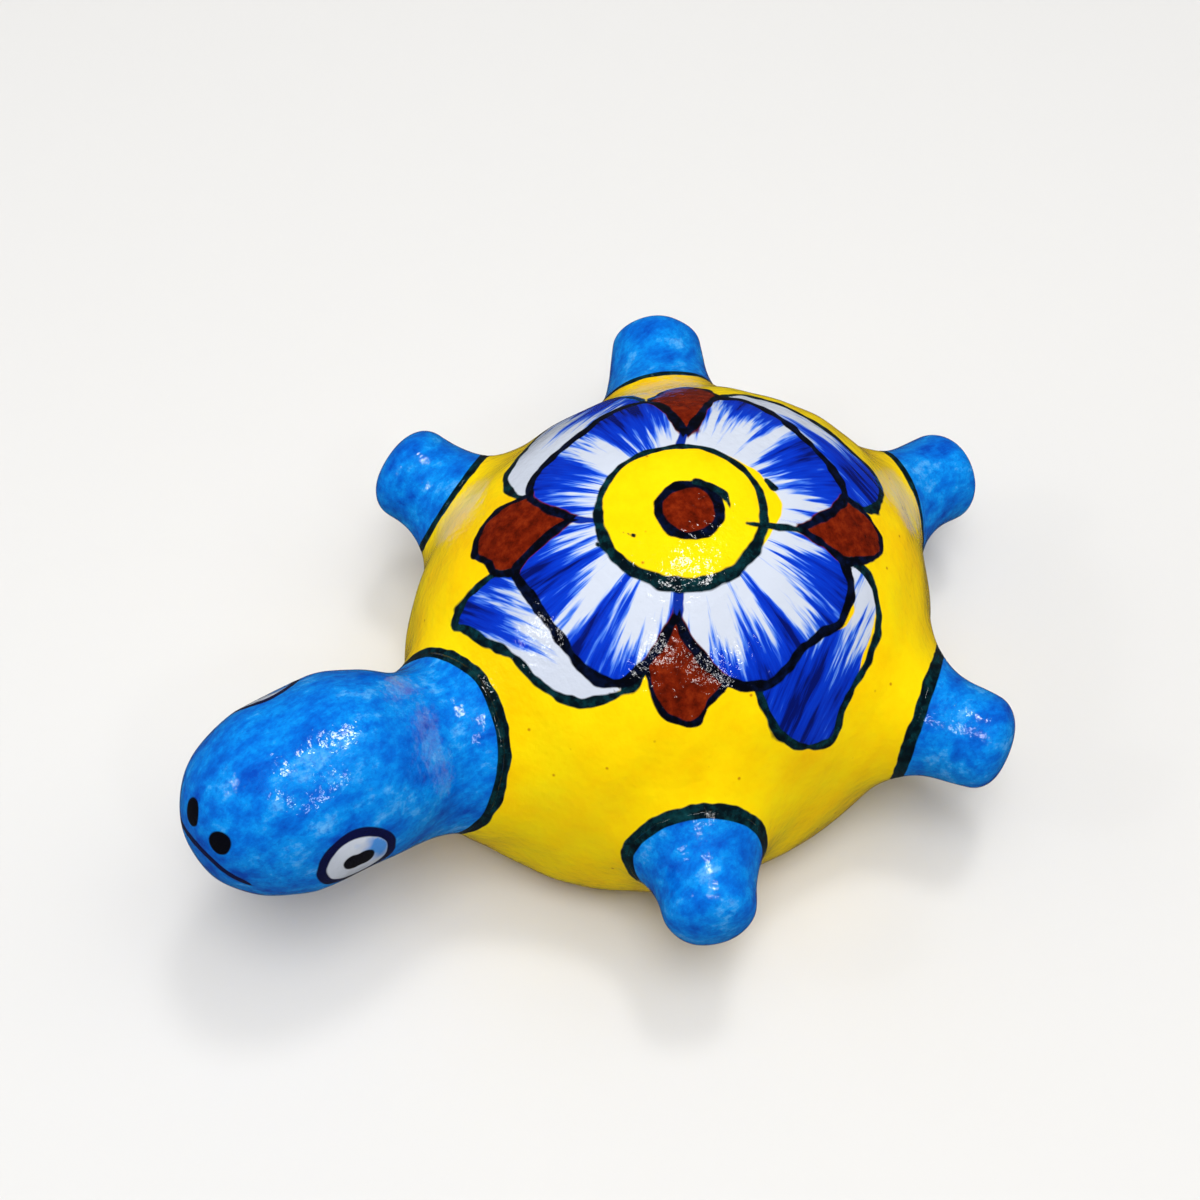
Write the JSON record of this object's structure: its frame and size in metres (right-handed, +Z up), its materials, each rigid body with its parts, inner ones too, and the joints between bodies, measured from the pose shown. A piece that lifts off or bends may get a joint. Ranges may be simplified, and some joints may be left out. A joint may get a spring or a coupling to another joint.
{
  "type": "tortoise paperweight",
  "caption": "Glazed ceramic tortoise paperweight with a fat hollow shell on a flat foot, a raised head, stub legs and a stub tail.",
  "frame": {"origin": "centre of the flat foot that the shell rests on", "axes": "+Z up, -Y towards the head, +Y towards the tail, +X towards the tortoise's left side"},
  "size_m": [0.0725, 0.1031, 0.0396],
  "materials": {
    "yellow_glaze": "glossy clear glaze over yellow underglaze paint, with a painted flower on the crown",
    "blue_glaze": "glossy clear glaze over watery, mottled blue underglaze paint"
  },
  "bodies": {
    "root": {"upper_shell": "yellow_glaze", "lower_shell": "yellow_glaze", "head": "blue_glaze", "front_left_leg": "blue_glaze", "front_right_leg": "blue_glaze", "rear_left_leg": "blue_glaze", "rear_right_leg": "blue_glaze", "tail": "blue_glaze"}
  },
  "joints": []
}
